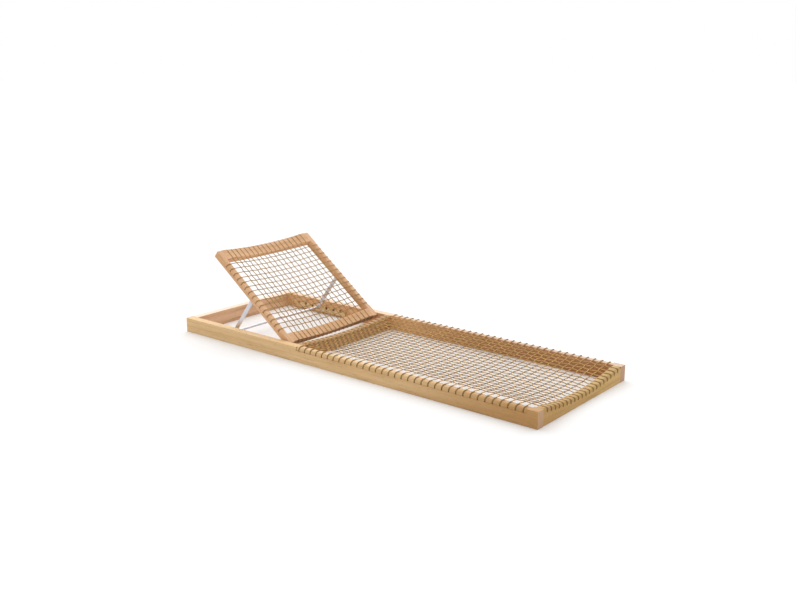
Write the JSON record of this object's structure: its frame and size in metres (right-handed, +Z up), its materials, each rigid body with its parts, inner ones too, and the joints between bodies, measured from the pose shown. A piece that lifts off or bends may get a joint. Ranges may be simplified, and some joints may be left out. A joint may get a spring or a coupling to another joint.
{
  "type": "teak sun lounger",
  "caption": "Low teak sun lounger: a flat frame with a woven cord seat and a hinged cord backrest held up by a steel prop standing in notched racks.",
  "frame": {"origin": "on the floor under the middle of the frame", "axes": "+X from the head end to the foot end, +Y to the left of someone lying on it, +Z up"},
  "size_m": [2, 0.7, 0.4216],
  "materials": {
    "teak": "oiled teak, satin",
    "dowel": "bare hardwood",
    "cord": "braided polyester cord, tan",
    "steel": "satin stainless steel",
    "bush": "natural nylon"
  },
  "bodies": {
    "base": {"side_rail_left": "teak", "side_rail_right": "teak", "head_rail": "teak", "foot_rail": "teak", "seat_head_rail": "teak", "frame_dowels": "dowel", "rack_left": "teak", "rack_right": "teak", "rack_screws": "steel", "hinge_pins": "steel", "hinge_washers": "steel", "seat_cross_cords": "cord", "seat_long_cords": "cord"},
    "backrest": {"back_stile_left": "teak", "back_stile_right": "teak", "back_top_rail": "teak", "back_bottom_rail": "teak", "back_dowels": "dowel", "hinge_bushes": "bush", "back_cross_cords": "cord", "back_long_cords": "cord", "prop_bracket_left": "steel", "prop_bracket_right": "steel", "prop_bracket_screws": "steel", "prop_pivot_pins": "steel"},
    "prop": {"prop_leg_left": "steel", "prop_leg_right": "steel", "prop_bushes": "bush", "prop_crossbar": "steel"}
  },
  "joints": [
    {"name": "backrest_tilt", "type": "hinge", "parent": "base", "child": "backrest", "pos_m": [-0.346, 0, 0.058], "axis": [0, 1, 0], "range_deg": [-37, 10]},
    {"name": "prop_swing", "type": "hinge", "parent": "backrest", "child": "prop", "pos_m": [-0.59367, 0, 0.20456], "axis": [0, 1, 0], "range_deg": [-24.4, 90.1]}
  ],
  "couplings": [
    {"joint": "prop_swing", "follows": "backrest_tilt", "ratio": -2.4324}
  ]
}
